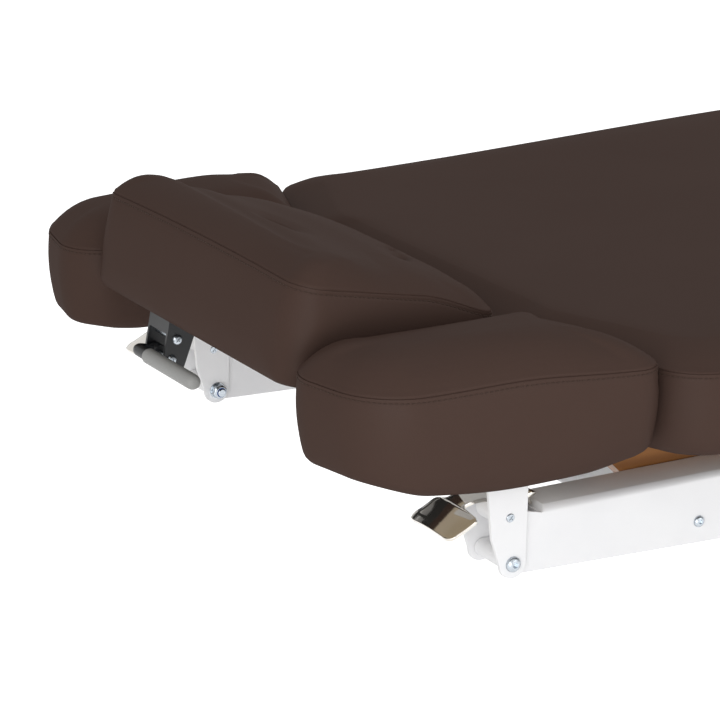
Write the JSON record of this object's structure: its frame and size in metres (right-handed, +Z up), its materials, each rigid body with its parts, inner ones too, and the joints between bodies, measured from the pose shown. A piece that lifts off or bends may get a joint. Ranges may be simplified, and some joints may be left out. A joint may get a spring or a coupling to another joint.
{
  "type": "massage lounger",
  "caption": "Padded massage lounger on a lifting column, with a tilting tufted headrest, drop-down arm rests on latched brackets and a hinged back section.",
  "frame": {"origin": "on the floor, under the middle of the lounger's outline", "axes": "+X runs along the lounger from the headrest to the foot end, +Z up"},
  "size_m": [2.0207, 0.773, 0.6744],
  "materials": {
    "upholstery": "dark brown vinyl over foam",
    "plywood": "matte",
    "rail_wood": "satin",
    "white_steel": "satin",
    "polished_steel": "polished",
    "zinc_steel": "satin",
    "black_steel": "satin",
    "grip": "matte",
    "black_plastic": "matte",
    "brass": "satin",
    "rubber": "matte",
    "aluminium": "satin"
  },
  "bodies": {
    "base": {"floor_base": "white_steel", "base_feet": "rubber", "column_outer": "white_steel", "lift_motor": "black_plastic", "lift_screw": "zinc_steel", "mains_inlet": "black_plastic"},
    "lift": {"column_inner": "white_steel", "nut_tube": "zinc_steel", "lift_nut": "brass", "lift_plate": "white_steel", "seat_beam_right": "white_steel", "seat_beam_left": "white_steel", "seat_rail_right": "rail_wood", "seat_rail_left": "rail_wood", "seat_cross_tube": "white_steel", "seat_lugs": "white_steel", "hinge_pins": "zinc_steel", "actuator_bracket": "white_steel", "seat_board": "plywood", "seat_pad": "upholstery", "fold_pad": "upholstery"},
    "back": {"back_beam_right": "white_steel", "back_beam_left": "white_steel", "wood_rail_right": "rail_wood", "wood_rail_left": "rail_wood", "cross_tube_front": "white_steel", "cross_tube_rear": "white_steel", "beam_bolts": "zinc_steel", "back_board": "plywood", "back_pad": "upholstery", "head_brackets": "white_steel", "head_pins": "zinc_steel", "tilt_quadrant": "zinc_steel", "actuator_arm": "white_steel"},
    "headrest": {"headrest_pad": "upholstery", "headrest_board": "plywood", "head_hinge_arms": "white_steel", "lock_pawl": "zinc_steel", "handle_bracket": "black_steel", "bracket_screws": "zinc_steel", "lever_pin": "zinc_steel"},
    "handle": {"release_lever": "black_steel", "lever_grip": "grip"},
    "actuator_body": {"actuator_tube": "black_plastic"},
    "actuator_ram": {"actuator_rod": "aluminium"},
    "arm_right": {"arm_pad_right": "upholstery", "arm_board_right": "plywood", "arm_bracket_right": "white_steel", "arm_bolt_right": "zinc_steel", "arm_nut_right": "zinc_steel", "latch_pin_right": "zinc_steel"},
    "paddle_right": {"paddle_right": "polished_steel"},
    "arm_left": {"arm_pad_left": "upholstery", "arm_board_left": "plywood", "arm_bracket_left": "white_steel", "arm_bolt_left": "zinc_steel", "arm_nut_left": "zinc_steel", "latch_pin_left": "zinc_steel"},
    "paddle_left": {"paddle_left": "polished_steel"}
  },
  "joints": [
    {"name": "lift_slide", "type": "slide", "parent": "base", "child": "lift", "axis": [0, 0, 1], "range_m": [0, 0.22]},
    {"name": "back_tilt", "type": "hinge", "parent": "lift", "child": "back", "pos_m": [-0.042, 0, 0.5], "axis": [0, 1, 0], "range_deg": [0, 55], "deforming": ["fold_pad"]},
    {"name": "headrest_tilt", "type": "hinge", "parent": "back", "child": "headrest", "pos_m": [-0.78, 0, 0.506], "axis": [0, 1, 0], "range_deg": [-45, 8]},
    {"name": "handle_pull", "type": "hinge", "parent": "headrest", "child": "handle", "pos_m": [-0.96865, 0.117, 0.52392], "axis": [0, 1, 0], "range_deg": [0, 18], "stiffness_Nm_per_rad": 0.6, "springref_deg": -22.92},
    {"name": "actuator_swing", "type": "hinge", "parent": "lift", "child": "actuator_body", "pos_m": [0.408, 0.15, 0.335], "axis": [0, 1, 0], "range_deg": [0, 1.2]},
    {"name": "actuator_stroke", "type": "slide", "parent": "actuator_body", "child": "actuator_ram", "axis": [-0.9993, 0, 0.0384], "range_m": [0, 0.15]},
    {"name": "arm_drop_right", "type": "hinge", "parent": "back", "child": "arm_right", "pos_m": [-0.842, -0.274, 0.43], "axis": [0, 1, 0], "range_deg": [-90, 0]},
    {"name": "paddle_press_right", "type": "hinge", "parent": "arm_right", "child": "paddle_right", "pos_m": [-0.845, -0.274, 0.472], "axis": [0, 1, 0], "range_deg": [-10, 0], "stiffness_Nm_per_rad": 1.5, "springref_deg": 17.19},
    {"name": "arm_drop_left", "type": "hinge", "parent": "back", "child": "arm_left", "pos_m": [-0.842, 0.274, 0.43], "axis": [0, 1, 0], "range_deg": [-90, 0]},
    {"name": "paddle_press_left", "type": "hinge", "parent": "arm_left", "child": "paddle_left", "pos_m": [-0.845, 0.274, 0.472], "axis": [0, 1, 0], "range_deg": [-10, 0], "stiffness_Nm_per_rad": 1.5, "springref_deg": 17.19}
  ],
  "couplings": [
    {"joint": "actuator_swing", "follows": "back_tilt", "ratio": 0.0176},
    {"joint": "actuator_stroke", "follows": "back_tilt", "m_per_rad": 0.1552}
  ]
}
